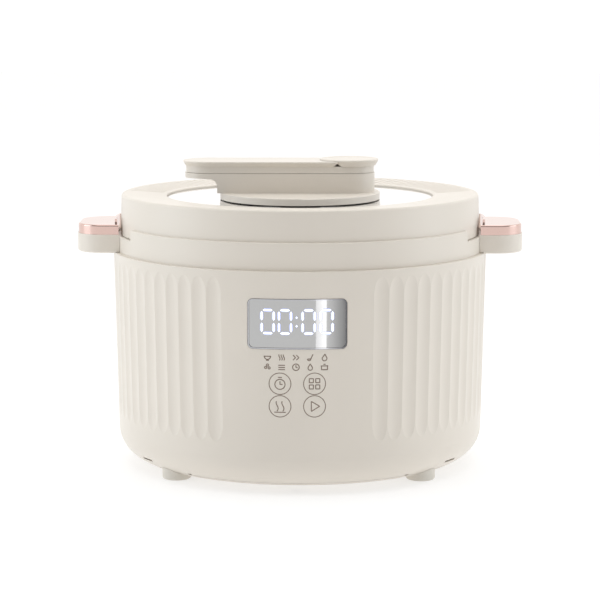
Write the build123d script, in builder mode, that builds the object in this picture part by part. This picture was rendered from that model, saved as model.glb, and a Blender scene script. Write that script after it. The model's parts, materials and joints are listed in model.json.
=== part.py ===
"""Electric pressure cooker with a bayonet lid, about three litres.

The frame: millimetres, +Z up, the floor under the feet at Z = 0, the cooker's round axis on Z, the display
at the front on -Y and the two side grips on -X and +X. The lid handle's free end points along -X.
"""

import os
from math import atan, cos, degrees, radians, sin, sqrt

from build123d import *

os.makedirs("parts", exist_ok=True)

# Outer body.
base_z = 4.5
parting_z = 6.4
crease_z = 22.7
housing_top_z = 143.2
crease_radius = 122.5
body_radius = 125.0
wall = 2.8
parting_gap = 0.2

# The rounded lower corner of the body, a circle about (corner_r, corner_z) in the plane of the axis.
corner_r = 101.86
corner_z = 24.27
corner_radius = 20.7

# Flutes on the wall, counted in degrees from the front.
flute_pitch = 5.0
flute_first = 25.0
flute_last = 165.0
flute_cutter = 19.0
flute_depth = 0.85
flute_low_z = 31.0
flute_high_z = 140.2
flute_run_out = 14.0
flute_fade = 1.2

# Collar and locking ring.
collar_radius = 122.3
collar_wall = 3.2
collar_top_z = 160.8
deck_z = 155.0
deck_thickness = 2.6
throat_radius = 103.6
ring_radius = 117.5
ring_wall = 1.5
ring_top_z = 170.5
ring_tooth_radius = 110.5
ring_tooth_thickness = 2.2
tooth_count = 6
tooth_angle = 26.0

# Side grips.
grip_reach = 148.5
grip_width = 57.0
grip_corner = 18.0
grip_low_z = 142.7
grip_cap_z = 155.0
grip_top_z = 161.5

# Display window.
window_width = 62.0
window_low_z = 94.5
window_high_z = 126.0
window_corner = 3.3
bezel_width = 0.8

# Liner, heater and pot.
liner_radius = 103.5
liner_sheet = 1.0
liner_floor_z = 27.0
plate_radius = 84.0
plate_top_z = 44.8
plate_thickness = 8.0
pot_radius = 100.0
pot_wall = 2.0
pot_floor_z = 45.0
pot_floor_thickness = 2.5
pot_corner = 12.0
pot_rim_radius = 107.0
pot_rim_z = 158.5

# Lid.
skirt_radius = 120.1
lid_top_radius = 119.5
lid_sheet = 2.2
lid_rim_z = 181.0
well_radius = 89.0
well_edge_z = 179.3
lid_floor_z = 173.2
tab_half_angle = 26.0
tab_z = 154.4
panel_z = 175.5
panel_sheet = 0.8
panel_rise = 1.7
panel_inner = 17.0
groove_pitch = 3.0
groove_count = 57
groove_inner = 92.5
groove_outer = 115.5
groove_width = 1.2
groove_depth = 0.7
hub_radius = 13.5
hub_bore = 8.0
inner_lid_z = 160.9
inner_lid_sheet = 1.2
inner_lid_radius = 105.5
seal_radius = 107.5
bayonet_z = 164.4
bayonet_thickness = 2.5
post_ring_radius = 60.0
float_y = 78.0
turn_angle = 30.0

# Lid handle.
disc_radius = 53.5
disc_low_z = 176.8
disc_top_z = 181.5
handle_width = 34.0
handle_left_x = -77.0
block_left_x = -54.8
button_x = 33.0
overhang_z = 191.0
overhang_fillet = 5.5
seam_z = 194.7
plate_z = 199.3
handle_top_z = 202.5
handle_wall = 2.2
lip = 1.4
button_radius = 19.5
button_top_z = 203.6
lever_x = 16.5
lever_z = 192.75
lever_thickness = 2.5
lever_pin_radius = 1.5

# Valve on the axis of the lid.
pipe_radius = 4.0
pipe_top_z = 188.0
weight_radius = 5.0
weight_flange_radius = 8.5
weight_flange_z = 194.8


def corner_point(z, inset):
    """A point on the rounded lower corner of the body, or inset from it towards the inside."""
    reach = corner_radius - inset
    return (corner_r + sqrt(reach**2 - (z - corner_z) ** 2), z)


def wall_radius(z):
    """The outer radius of the slightly conical wall at height z."""
    return crease_radius + (body_radius - crease_radius) * (z - crease_z) / (housing_top_z - crease_z)


def polar(radius, degrees):
    """A point in plan, with the angle counted from the front towards +X."""
    return (radius * sin(radians(degrees)), -radius * cos(radians(degrees)))


def turned(*points, mode=Mode.ADD):
    """Turns a closed outline of (radius, height) points about the cooker's axis."""
    with BuildSketch(Plane.XZ) as outline:
        with BuildLine():
            Polyline(*points, close=True)
        make_face()
    revolve(outline.sketch, axis=Axis.Z, mode=mode)


def washer(inner, outer, low, high, mode=Mode.ADD):
    """A flat ring about the cooker's axis."""
    turned((inner, low), (outer, low), (outer, high), (inner, high), mode=mode)


def sector(inner, outer, low, high, centre, half_angle, mode=Mode.ADD):
    """A piece of a flat ring, centre and half_angle in degrees from the front towards +X."""
    with BuildSketch(Plane.XZ) as outline:
        with Locations(((inner + outer) / 2, (low + high) / 2)):
            Rectangle(outer - inner, high - low)
    start = outline.sketch.rotate(Axis.Z, centre - 90 - half_angle)
    revolve(start, axis=Axis.Z, revolution_arc=2 * half_angle, mode=mode)


def rod(x, y, radius, low, high, mode=Mode.ADD):
    """An upright round rod or hole."""
    with BuildSketch(Plane.XY.offset(low)) as outline:
        with Locations((x, y)):
            Circle(radius)
    extrude(outline.sketch, amount=high - low, mode=mode)


def block(x, y, length, width, low, high, mode=Mode.ADD):
    """An upright rectangular block or pocket centred on (x, y)."""
    with BuildSketch(Plane.XY.offset(low)) as outline:
        with Locations((x, y)):
            Rectangle(length, width)
    extrude(outline.sketch, amount=high - low, mode=mode)


def stadium(left, right, width, low, high, mode=Mode.ADD):
    """An upright bar along X with round ends."""
    with BuildSketch(Plane.XY.offset(low)) as outline:
        with Locations(((left + right) / 2, 0)):
            SlotOverall(right - left, width)
    extrude(outline.sketch, amount=high - low, mode=mode)


def screw(x, y, head_radius, shank_radius, head_low, head_high, tip):
    """An upright screw; the tip lies on whichever side of the head it points to."""
    rod(x, y, head_radius, head_low, head_high)
    if tip > head_high:
        rod(x, y, shank_radius, head_high, tip)
    else:
        rod(x, y, shank_radius, tip, head_low)


# Base cover: the flat bottom with its rounded edge, air slots, pegs for the board and holes for the feet.
base_sheet = 2.2
base_top_z = base_z + base_sheet
base_edge = 0.2
cover_step = 108.6
screw_circle = 104.0
foot_x = 79.5
foot_y = 69.0
foot_radius = 9.4
foot_peg = 4.0
foot_top_z = 12.0
foot_round = 1.4
foot_gap = 0.1
drain_circle = 90.0
board_y = 48.0
board_z = 12.0
board_length = 100.0
board_width = 56.0
board_pegs = [(x, board_y + y) for x in (-44.0, 44.0) for y in (-22.0, 22.0)]
feet_at = [(x, y) for x in (-foot_x, foot_x) for y in (-foot_y, foot_y)]
base_screws_at = [polar(screw_circle, 90 * quarter) for quarter in range(4)]
drains_at = [polar(drain_circle, angle) for angle in (-40, 40, 140, 220)]

with BuildPart() as base_cover:
    with BuildSketch(Plane.XZ):
        with BuildLine():
            flat_end = corner_point(base_z + base_edge, 0)
            edge = corner_point(parting_z, 0)
            middle = corner_point((flat_end[1] + edge[1]) / 2, 0)
            Line((0, base_z), (flat_end[0], base_z))
            Line((flat_end[0], base_z), flat_end)
            ThreePointArc(flat_end, middle, edge)
            Line(edge, (cover_step, parting_z))
            Line((cover_step, parting_z), (cover_step, base_top_z))
            Line((cover_step, base_top_z), (0, base_top_z))
            Line((0, base_top_z), (0, base_z))
        make_face()
    revolve(axis=Axis.Z)
    for x, y in board_pegs:
        rod(x, y, 3.0, base_top_z, board_z)
    for x, y in board_pegs:
        rod(x, y, 1.2, board_z - 4, board_z + 1, mode=Mode.SUBTRACT)
    for x, y in feet_at:
        rod(x, y, foot_peg + 0.05, base_z - 1, base_top_z + 1, mode=Mode.SUBTRACT)
    for x, y in base_screws_at:
        rod(x, y, 1.9, base_z - 1, base_top_z + 1, mode=Mode.SUBTRACT)
        rod(x, y, 3.4, base_z - 1, base_z + 1.0, mode=Mode.SUBTRACT)
    with BuildSketch(Plane.XY.offset(base_z - 1)):
        with PolarLocations(66, 10):
            SlotOverall(22, 3)
        with PolarLocations(42, 8):
            SlotOverall(18, 3)
        with Locations(*drains_at):
            Circle(1.8)
    extrude(amount=base_sheet + 2, mode=Mode.SUBTRACT)
base_cover.part.label = "base_cover"
export_step(base_cover.part, "parts/base_cover.step")

# Feet: four soft pads that meet the rounded edge of the bottom, each with a peg into the base cover.
with BuildPart() as feet:
    for x, y in feet_at:
        rod(x, y, foot_radius, 0, foot_top_z)
    fillet(feet.edges().group_by(Axis.Z)[0], foot_round)
    with BuildSketch(Plane.XZ) as bottom:
        with BuildLine():
            low_end = corner_point(base_z + base_edge, -foot_gap)
            high_end = corner_point(crease_z, -foot_gap)
            halfway = corner_point((low_end[1] + high_end[1]) / 2, -foot_gap)
            Line((0, base_z), (low_end[0], base_z))
            Line((low_end[0], base_z), low_end)
            ThreePointArc(low_end, halfway, high_end)
            Polyline(high_end, (0, high_end[1]), (0, base_z))
        make_face()
    revolve(bottom.sketch, axis=Axis.Z, mode=Mode.SUBTRACT)
    for x, y in feet_at:
        rod(x, y, foot_peg, base_z - 1, base_top_z)
feet.part.label = "feet"
export_step(feet.part, "parts/feet.step")

# Base screws: four, from below into the bosses of the housing.
with BuildPart() as base_screws:
    for x, y in base_screws_at:
        screw(x, y, 3.0, 1.6, base_z + 0.1, base_z + 1.0, 20.0)
base_screws.part.label = "base_screws"
export_step(base_screws.part, "parts/base_screws.step")

# Outer housing: the fluted wall with its rounded foot, a flange at each end, the screw bosses, four thin
# slots and four small notches near the parting, the display window, and the inlet opening under its shelf.
ledge_z = base_top_z + parting_gap
ledge_inner = 104.5
ledge_sheet = 1.5
boss_radius = 3.6
boss_top_z = 24.0
rib_half_angle = 1.0
rib_low_z = 17.5
slot_low_z = 10.6
slot_high_z = 12.0
slot_half_angle = 3.0
housing_step = cover_step + 0.4
notch_outer = 114.0
notch_half_angle = 0.8
notch_top_z = parting_z + 1.4
flange_radius = 119.3
flange_sheet = 2.4
top_round = 0.5
inlet_z = 38.0
inlet_width = 30.0
inlet_height = 22.0
inlet_gap = 0.3
shelf_z = inlet_z + inlet_height / 2 + 0.5
shelf_sheet = 1.6
shelf_inner_y = 107.5

with BuildPart() as outer_housing:
    with BuildSketch(Plane.XZ):
        with BuildLine():
            foot_z = parting_z + parting_gap
            foot = corner_point(foot_z, 0)
            foot_middle = corner_point(13.0, 0)
            crease = (crease_radius, crease_z)
            inner_crease = (crease_radius - wall, crease_z)
            inner_foot = corner_point(ledge_z + ledge_sheet, wall)
            inner_foot_middle = corner_point(13.0, wall)
            brow = (wall_radius(housing_top_z - top_round), housing_top_z - top_round)
            ThreePointArc(foot, foot_middle, crease)
            Line(crease, brow)
            RadiusArc(brow, (body_radius - top_round, housing_top_z), -top_round)
            Polyline(
                (body_radius - top_round, housing_top_z),
                (flange_radius, housing_top_z),
                (flange_radius, housing_top_z - flange_sheet),
                (body_radius - wall, housing_top_z - flange_sheet),
                inner_crease,
            )
            ThreePointArc(inner_crease, inner_foot_middle, inner_foot)
            Polyline(
                inner_foot,
                (ledge_inner, ledge_z + ledge_sheet),
                (ledge_inner, ledge_z),
                (housing_step, ledge_z),
                (housing_step, foot_z),
                foot,
            )
        make_face()
    revolve(axis=Axis.Z)
    for quarter in range(4):
        x, y = base_screws_at[quarter]
        angle = 90 * quarter
        rod(x, y, boss_radius, ledge_z, boss_top_z)
        sector(screw_circle, crease_radius - wall - 0.4, rib_low_z, boss_top_z, angle, rib_half_angle)
        rod(x, y, 1.65, base_z, boss_top_z - 2, mode=Mode.SUBTRACT)
    cut = Mode.SUBTRACT
    for angle in (57, 123, 237, 303):
        sector(cover_step, crease_radius, slot_low_z, slot_high_z, angle, slot_half_angle, mode=cut)
    for angle in (38, 142, 218, 322):
        sector(housing_step, notch_outer, parting_z, notch_top_z, angle, notch_half_angle, mode=cut)
    window_height = window_high_z - window_low_z
    with BuildSketch(Plane.XZ.offset(body_radius - 30)):
        with Locations((0, (window_low_z + window_high_z) / 2)):
            RectangleRounded(window_width + 0.4, window_height + 0.4, window_corner + 0.2)
    extrude(amount=40, mode=Mode.SUBTRACT)
    shelf_outer_y = crease_radius - wall
    shelf_y = (shelf_inner_y + shelf_outer_y) / 2
    block(0, shelf_y, inlet_width + 4, shelf_outer_y - shelf_inner_y, shelf_z, shelf_z + shelf_sheet)
    with BuildSketch(Plane.XZ.offset(-body_radius + 20)):
        with Locations((0, inlet_z)):
            Rectangle(inlet_width + 2 * inlet_gap, inlet_height + 2 * inlet_gap)
    extrude(amount=-30, mode=Mode.SUBTRACT)
    # One flute: a long spindle that dips into the wall and runs out of it at both ends.
    with BuildSketch(Plane.XZ) as spindle_outline:
        with BuildLine():
            tip = flute_cutter - flute_fade
            full_low_z = flute_low_z + flute_run_out
            full_high_z = flute_high_z - flute_run_out
            Spline((tip, flute_low_z), (flute_cutter, full_low_z), tangents=((flute_fade, 6), (0, 1)))
            Line((flute_cutter, full_low_z), (flute_cutter, full_high_z))
            Spline((flute_cutter, full_high_z), (tip, flute_high_z), tangents=((0, 1), (-flute_fade, 6)))
            Polyline((tip, flute_high_z), (0, flute_high_z), (0, flute_low_z), (tip, flute_low_z))
        make_face()
    spindle = revolve(spindle_outline.sketch, axis=Axis.Z, mode=Mode.PRIVATE)
    middle_z = (flute_low_z + flute_high_z) / 2
    lean = degrees(atan((body_radius - crease_radius) / (housing_top_z - crease_z)))
    leaning = spindle.rotate(Axis((0, 0, middle_z), (0, 1, 0)), lean)
    reach = wall_radius(middle_z) + flute_cutter - flute_depth
    steps = int((flute_last - flute_first) / flute_pitch) + 1
    for side in (-1, 1):
        for step in range(steps):
            angle = side * (flute_first + step * flute_pitch)
            placed = leaning.translate((reach, 0, 0)).rotate(Axis.Z, angle - 90)
            add(placed, mode=Mode.SUBTRACT)
outer_housing.part.label = "outer_housing"
export_step(outer_housing.part, "parts/outer_housing.step")


# Collar: the smooth ring over the housing. Its deck carries the pot seat and the locking ring, and its wall
# drops in two notches for the lid's tabs.
collar_inner = collar_radius - collar_wall
ring_screw_radius = 113.0
screw_angles = [30 + 60 * index for index in range(6)]
grip_screw_z = 149.0
notch_reach = 1.5
tab_gap = 0.5
tab_side_gap = 0.4

with BuildPart() as collar:
    turned(
        (collar_inner, housing_top_z),
        (collar_radius, housing_top_z),
        (collar_radius, collar_top_z),
        (collar_inner, collar_top_z),
    )
    fillet(collar.edges().group_by(Axis.Z)[-1].sort_by(SortBy.RADIUS)[-1], 1.2)
    washer(throat_radius, collar_inner + 0.5, deck_z - deck_thickness, deck_z)
    for side in (90, 270):
        sector(
            collar_inner - notch_reach,
            collar_radius + 1,
            tab_z - tab_gap,
            collar_top_z + 1,
            side,
            tab_half_angle + tab_side_gap,
            mode=Mode.SUBTRACT,
        )
    for angle in screw_angles:
        x, y = polar(ring_screw_radius, angle)
        rod(x, y, 1.45, deck_z - 4, deck_z + 1, mode=Mode.SUBTRACT)
    with BuildSketch(Plane.YZ.offset(-collar_radius - 2)):
        with Locations((0, grip_screw_z)):
            Circle(2.1)
    extrude(amount=2 * collar_radius + 4, mode=Mode.SUBTRACT)
collar.part.label = "collar"
export_step(collar.part, "parts/collar.step")

# Pot seat ring, the soft ring under the pot's rim.
with BuildPart() as pot_seat_ring:
    washer(throat_radius + 0.6, 108.6, deck_z, pot_rim_z - 1.6)
    washer(throat_radius + 2.6, 106.6, pot_rim_z - 1.9, pot_rim_z - 1, mode=Mode.SUBTRACT)
pot_seat_ring.part.label = "pot_seat_ring"
export_step(pot_seat_ring.part, "parts/pot_seat_ring.step")

# Locking ring: a steel band with six teeth that point inwards over the lid's bayonet plate.
with BuildPart() as locking_ring:
    washer(ring_radius - ring_wall, ring_radius, deck_z, ring_top_z)
    washer(110.0, ring_radius - ring_wall + 0.1, deck_z, deck_z + ring_wall)
    band_inner = ring_radius - ring_wall + 0.1
    tooth_low_z = ring_top_z - ring_tooth_thickness
    for index in range(tooth_count):
        sector(ring_tooth_radius, band_inner, tooth_low_z, ring_top_z, 60 * index, tooth_angle / 2)
    for angle in screw_angles:
        x, y = polar(ring_screw_radius, angle)
        rod(x, y, 1.45, deck_z - 1, deck_z + 3, mode=Mode.SUBTRACT)
locking_ring.part.label = "locking_ring"
export_step(locking_ring.part, "parts/locking_ring.step")

with BuildPart() as locking_ring_screws:
    for angle in screw_angles:
        x, y = polar(ring_screw_radius, angle)
        screw(x, y, 2.6, 1.4, deck_z + ring_wall, deck_z + ring_wall + 1.8, deck_z - 5)
locking_ring_screws.part.label = "locking_ring_screws"
export_step(locking_ring_screws.part, "parts/locking_ring_screws.step")


def grip_plan(inset, z):
    """The grip's outline in plan at height z, from inside the collar out to its rounded end on +X."""
    root_x = collar_radius - 30
    length = grip_reach - root_x - 2 * inset
    with BuildSketch(Plane.XY.offset(z)) as outline:
        with Locations(((root_x + grip_reach) / 2, 0)):
            RectangleRounded(length, grip_width - 2 * inset, grip_corner - inset)
    return outline.sketch


# Side grips: hollow underneath for the fingertips, a screw boss at the root, and a metal cap on top.
# The right grip is drawn on +X, and the left one is its mirror image.
cap_inset = 0.6
grip_pocket = (128.5, 145.5)
cap_pegs_at = [(137.0, y) for y in (-16.0, 16.0)]
with BuildPart() as right_grip:
    extrude(grip_plan(0, grip_low_z), amount=grip_cap_z - grip_low_z)
    fillet(right_grip.edges().group_by(Axis.Z)[0], 1.6)
    washer(0, collar_radius + 0.1, grip_low_z - 1, grip_cap_z + 1, mode=Mode.SUBTRACT)
    washer(0, body_radius + 0.3, grip_low_z - 1, housing_top_z + 0.3, mode=Mode.SUBTRACT)
    with BuildSketch(Plane.XY.offset(grip_low_z - 1)):
        with Locations((sum(grip_pocket) / 2, 0)):
            RectangleRounded(grip_pocket[1] - grip_pocket[0], grip_width - 10, 7)
    extrude(amount=10, mode=Mode.SUBTRACT)
    with BuildSketch(Plane.YZ.offset(collar_radius - 5)):
        with Locations((0, grip_screw_z)):
            Circle(1.6)
    extrude(amount=10.5, mode=Mode.SUBTRACT)
    for x, y in cap_pegs_at:
        rod(x, y, 1.6, grip_cap_z - 2.4, grip_cap_z + 1, mode=Mode.SUBTRACT)
right_grip.part.label = "right_grip"
export_step(right_grip.part, "parts/right_grip.step")

with BuildPart() as left_grip:
    add(mirror(right_grip.part, about=Plane.YZ, mode=Mode.PRIVATE))
left_grip.part.label = "left_grip"
export_step(left_grip.part, "parts/left_grip.step")

with BuildPart() as right_grip_cap:
    extrude(grip_plan(cap_inset, grip_cap_z), amount=grip_top_z - grip_cap_z)
    fillet(right_grip_cap.edges().group_by(Axis.Z)[-1], 1.0)
    washer(0, collar_radius + 0.6, grip_cap_z - 1, grip_top_z + 4, mode=Mode.SUBTRACT)
    # The raised lip that follows the lid at the cap's root.
    sector(collar_radius + 0.6, collar_radius + 2.0, grip_cap_z, grip_top_z + 3.0, 90, 8.5)
    # Two pegs into the grip.
    for x, y in cap_pegs_at:
        rod(x, y, 1.5, grip_cap_z - 2.2, grip_cap_z)
right_grip_cap.part.label = "right_grip_cap"
export_step(right_grip_cap.part, "parts/right_grip_cap.step")

with BuildPart() as left_grip_cap:
    add(mirror(right_grip_cap.part, about=Plane.YZ, mode=Mode.PRIVATE))
left_grip_cap.part.label = "left_grip_cap"
export_step(left_grip_cap.part, "parts/left_grip_cap.step")

# Grip screws, one for each grip, from inside the collar.
with BuildPart() as grip_screws:
    for side in (-1, 1):
        with BuildSketch(Plane.YZ.offset(side * (collar_inner - 2.3))) as head:
            with Locations((0, grip_screw_z)):
                Circle(3.4)
        extrude(head.sketch, amount=side * 2.0)
        with BuildSketch(Plane.YZ.offset(side * (collar_inner - 0.3))) as shank:
            with Locations((0, grip_screw_z)):
                Circle(1.55)
        extrude(shank.sketch, amount=side * 8.0)
grip_screws.part.label = "grip_screws"
export_step(grip_screws.part, "parts/grip_screws.step")


def window_prism(width, height, corner):
    """An upright bar along -Y through the display window."""
    with BuildSketch(Plane.XZ.offset(body_radius - 20)) as outline:
        with Locations((0, (window_low_z + window_high_z) / 2)):
            RectangleRounded(width, height, corner)
    return extrude(outline.sketch, amount=30, mode=Mode.PRIVATE)


def window_shell(outer, inner):
    """A band of the wall, from inner to outer millimetres beyond its face, at the height of the window."""
    low = window_low_z - 4
    high = window_high_z + 4
    turned(
        (wall_radius(low) + inner, low),
        (wall_radius(low) + outer, low),
        (wall_radius(high) + outer, high),
        (wall_radius(high) + inner, high),
    )


# Display bezel and lens, both bent to the wall.
lens_width = window_width - 2 * bezel_width - 0.1
lens_height = window_height - 2 * bezel_width - 0.1
lens_corner = window_corner - bezel_width
with BuildPart() as display_bezel:
    window_shell(0.35, -3.6)
    add(window_prism(window_width, window_height, window_corner), mode=Mode.INTERSECT)
    add(window_prism(lens_width + 0.1, lens_height + 0.1, lens_corner), mode=Mode.SUBTRACT)
display_bezel.part.label = "display_bezel"
export_step(display_bezel.part, "parts/display_bezel.step")

with BuildPart() as display_lens:
    window_shell(-0.2, -2.0)
    add(window_prism(lens_width, lens_height, lens_corner - 0.05), mode=Mode.INTERSECT)
display_lens.part.label = "display_lens"
export_step(display_lens.part, "parts/display_lens.step")

# Display board behind the front wall, with its light module and the four touch contacts.
board_sheet = 1.6
board_face_y = -108.8
key_x = 10.8
key_rows = (58.7, 73.1)
with BuildPart() as display_board:
    block(0, board_face_y + board_sheet / 2, 66, board_sheet, 50, 128)
    with BuildSketch(Plane.XZ.offset(-board_face_y - 3)):
        with GridLocations(58, 70, 2, 2):
            with Locations((0, 89)):
                Circle(1.6)
    extrude(amount=6, mode=Mode.SUBTRACT)
display_board.part.label = "display_board"
export_step(display_board.part, "parts/display_board.step")

with BuildPart() as led_module:
    block(0, board_face_y - 4.5, 50, 9, 97, 123.5)
led_module.part.label = "led_module"
export_step(led_module.part, "parts/led_module.step")

with BuildPart() as touch_contacts:
    for x in (-key_x, key_x):
        for z in key_rows:
            with BuildSketch(Plane.XZ.offset(-board_face_y)) as contact:
                with Locations((x, z)):
                    Circle(5.0)
                    Circle(4.2, mode=Mode.SUBTRACT)
            extrude(contact.sketch, amount=9.6)
            with BuildSketch(Plane.XZ.offset(-board_face_y + 9.6)) as pad:
                with Locations((x, z)):
                    Circle(5.0)
            extrude(pad.sketch, amount=0.6)
touch_contacts.part.label = "touch_contacts"
export_step(touch_contacts.part, "parts/touch_contacts.step")

# Ribbon cable: from the foot of the display board down and back under the liner to the power board.
ribbon_sheet = 0.5
ribbon_low_z = 17.4
board_front_y = board_y - board_width / 2
with BuildPart() as ribbon_cable:
    with BuildSketch(Plane.YZ.offset(14)):
        with BuildLine():
            drop_y = board_face_y + board_sheet + 0.8
            bend = 3.0
            Line((drop_y, 56.0), (drop_y, ribbon_low_z + bend))
            RadiusArc((drop_y, ribbon_low_z + bend), (drop_y + bend, ribbon_low_z), bend)
            Line((drop_y + bend, ribbon_low_z), (board_front_y + 1, ribbon_low_z))
            Line((board_front_y + 1, ribbon_low_z), (board_front_y + 1, ribbon_low_z - ribbon_sheet))
            Line(
                (board_front_y + 1, ribbon_low_z - ribbon_sheet),
                (drop_y + bend, ribbon_low_z - ribbon_sheet),
            )
            RadiusArc(
                (drop_y + bend, ribbon_low_z - ribbon_sheet),
                (drop_y - ribbon_sheet, ribbon_low_z + bend),
                -bend - ribbon_sheet,
            )
            Line((drop_y - ribbon_sheet, ribbon_low_z + bend), (drop_y - ribbon_sheet, 56.0))
            Line((drop_y - ribbon_sheet, 56.0), (drop_y, 56.0))
        make_face()
    extrude(amount=14)
ribbon_cable.part.label = "ribbon_cable"
export_step(ribbon_cable.part, "parts/ribbon_cable.step")

# Liner: the steel bucket round the pot, hung from the collar's deck.
liner_top_z = deck_z - deck_thickness
with BuildPart() as liner:
    turned(
        (68.0, liner_floor_z),
        (liner_radius + liner_sheet, liner_floor_z),
        (liner_radius + liner_sheet, liner_top_z - liner_sheet),
        (111.0, liner_top_z - liner_sheet),
        (111.0, liner_top_z),
        (liner_radius, liner_top_z),
        (liner_radius, liner_floor_z + liner_sheet),
        (68.0, liner_floor_z + liner_sheet),
    )
    with BuildSketch(Plane.XY.offset(liner_floor_z - 1)):
        with PolarLocations(92, 4, 45):
            Circle(2.0)
    extrude(amount=4, mode=Mode.SUBTRACT)
liner.part.label = "liner"
export_step(liner.part, "parts/liner.step")

# Heating plate with its heating tube, on a sprung diaphragm.
plate_low_z = plate_top_z - plate_thickness
sensor_radius = 15.0
tube_ring = 62.0
tube_radius = 3.5
with BuildPart() as heating_plate:
    washer(sensor_radius + 1.5, plate_radius, plate_low_z, plate_top_z)
    fillet(heating_plate.edges().group_by(Axis.Z)[-1].sort_by(SortBy.RADIUS)[-1], 3.0)
    washer(tube_ring + tube_radius + 0.3, tube_ring + tube_radius + 4, plate_low_z - 3, plate_low_z + 0.1)
heating_plate.part.label = "heating_plate"
export_step(heating_plate.part, "parts/heating_plate.step")

with BuildPart() as heating_tube:
    tube_z = plate_low_z - tube_radius - 0.1
    with BuildSketch(Plane.XZ) as section:
        with Locations((tube_ring, tube_z)):
            Circle(tube_radius)
    revolve(section.sketch.rotate(Axis.Z, 105), axis=Axis.Z, revolution_arc=330)
    for angle in (75, 105):
        x = tube_ring * cos(radians(angle))
        y = tube_ring * sin(radians(angle))
        rod(x, y, 1.5, tube_z - 11, tube_z)
heating_tube.part.label = "heating_tube"
export_step(heating_tube.part, "parts/heating_tube.step")

diaphragm_z = liner_floor_z + liner_sheet
post_at = 76.0
with BuildPart() as spring_diaphragm:
    washer(70.0, 99.0, diaphragm_z, diaphragm_z + 1.4)
    with BuildSketch(Plane.XY.offset(diaphragm_z)):
        with PolarLocations(post_at, 4, 45):
            Circle(4.0)
    extrude(amount=plate_low_z - diaphragm_z)
    with BuildSketch(Plane.XY.offset(diaphragm_z - 1)):
        with PolarLocations(92, 4, 45):
            Circle(2.0)
        with PolarLocations(84, 4):
            SlotOverall(12, 5)
    extrude(amount=3.4, mode=Mode.SUBTRACT)
spring_diaphragm.part.label = "spring_diaphragm"
export_step(spring_diaphragm.part, "parts/spring_diaphragm.step")

with BuildPart() as diaphragm_screws:
    for index in range(4):
        x, y = polar(92, 90 * index + 45)
        screw(x, y, 3.4, 1.9, diaphragm_z + 1.4, diaphragm_z + 3.2, liner_floor_z - 4)
diaphragm_screws.part.label = "diaphragm_screws"
export_step(diaphragm_screws.part, "parts/diaphragm_screws.step")

# Pressure switch on its bracket, under the liner's floor at the left.
switch_x = -84.0
with BuildPart() as switch_bracket:
    block(switch_x, 0, 24, 14, liner_floor_z - 1.2, liner_floor_z)
    block(switch_x - 8.4, 0, 1.2, 14, liner_floor_z - 14, liner_floor_z - 1.1)
switch_bracket.part.label = "switch_bracket"
export_step(switch_bracket.part, "parts/switch_bracket.step")

with BuildPart() as pressure_switch:
    block(switch_x + 2.2, 0, 20, 6.4, liner_floor_z - 12.6, liner_floor_z - 3.0)
    rod(switch_x + 8, 0, 1.2, liner_floor_z - 3.0, liner_floor_z - 1.6)
pressure_switch.part.label = "pressure_switch"
export_step(pressure_switch.part, "parts/pressure_switch.step")

# Thermostat: a sprung cap in the middle of the heating plate, its holder and its spring.
sensor_top_z = pot_floor_z - 0.1
with BuildPart() as thermostat_cap:
    turned(
        (0, sensor_top_z - 1.2),
        (sensor_radius - 1.0, sensor_top_z - 1.2),
        (sensor_radius - 1.0, plate_low_z + 3),
        (sensor_radius, plate_low_z + 3),
        (sensor_radius, sensor_top_z - 1.0),
        (sensor_radius - 1.0, sensor_top_z),
        (0, sensor_top_z),
    )
    rod(0, 0, 3.0, 30.0, sensor_top_z - 1.1)
thermostat_cap.part.label = "thermostat_cap"
export_step(thermostat_cap.part, "parts/thermostat_cap.step")

with BuildPart() as thermostat_holder:
    washer(3.4, 15.0, 20.0, 22.0)
    washer(13.4, 15.0, 22.0, plate_low_z - 1.2)
    washer(13.4, 20.0, plate_low_z - 1.2, plate_low_z)
thermostat_holder.part.label = "thermostat_holder"
export_step(thermostat_holder.part, "parts/thermostat_holder.step")

with BuildPart() as thermostat_spring:
    with BuildLine() as coil:
        Helix(pitch=3.6, height=19.8, radius=7.0, center=(0, 0, 22.7))
    with BuildSketch(Plane(origin=coil.line @ 0, z_dir=coil.line % 0)):
        Circle(0.5)
    sweep()
thermostat_spring.part.label = "thermostat_spring"
export_step(thermostat_spring.part, "parts/thermostat_spring.step")

with BuildPart() as thermal_fuse:
    with BuildSketch(Plane.YZ.offset(26)):
        with Locations((0, plate_low_z - 2.1)):
            Circle(2.0)
    extrude(amount=12)
    with BuildSketch(Plane.YZ.offset(22)):
        with Locations((0, plate_low_z - 2.1)):
            Circle(0.6)
    extrude(amount=20)
thermal_fuse.part.label = "thermal_fuse"
export_step(thermal_fuse.part, "parts/thermal_fuse.step")

# Power board on the base cover, and what stands on it.
board_top_z = board_z + board_sheet
with BuildPart() as power_board:
    block(0, board_y, board_length, board_width, board_z, board_top_z)
    for x, y in board_pegs:
        rod(x, y, 1.3, board_z - 1, board_top_z + 1, mode=Mode.SUBTRACT)
power_board.part.label = "power_board"
export_step(power_board.part, "parts/power_board.step")

with BuildPart() as relay:
    block(-22, 40, 19, 15, board_top_z, board_top_z + 9)
relay.part.label = "relay"
export_step(relay.part, "parts/relay.step")

with BuildPart() as transformer:
    block(10, 40, 20, 18, board_top_z, board_top_z + 8)
    block(10, 40, 24, 10, board_top_z, board_top_z + 9.6)
transformer.part.label = "transformer"
export_step(transformer.part, "parts/transformer.step")

with BuildPart() as capacitor:
    rod(34, 54, 5, board_top_z, board_top_z + 10.5)
    fillet(capacitor.edges().group_by(Axis.Z)[-1], 0.6)
capacitor.part.label = "capacitor"
export_step(capacitor.part, "parts/capacitor.step")

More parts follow.
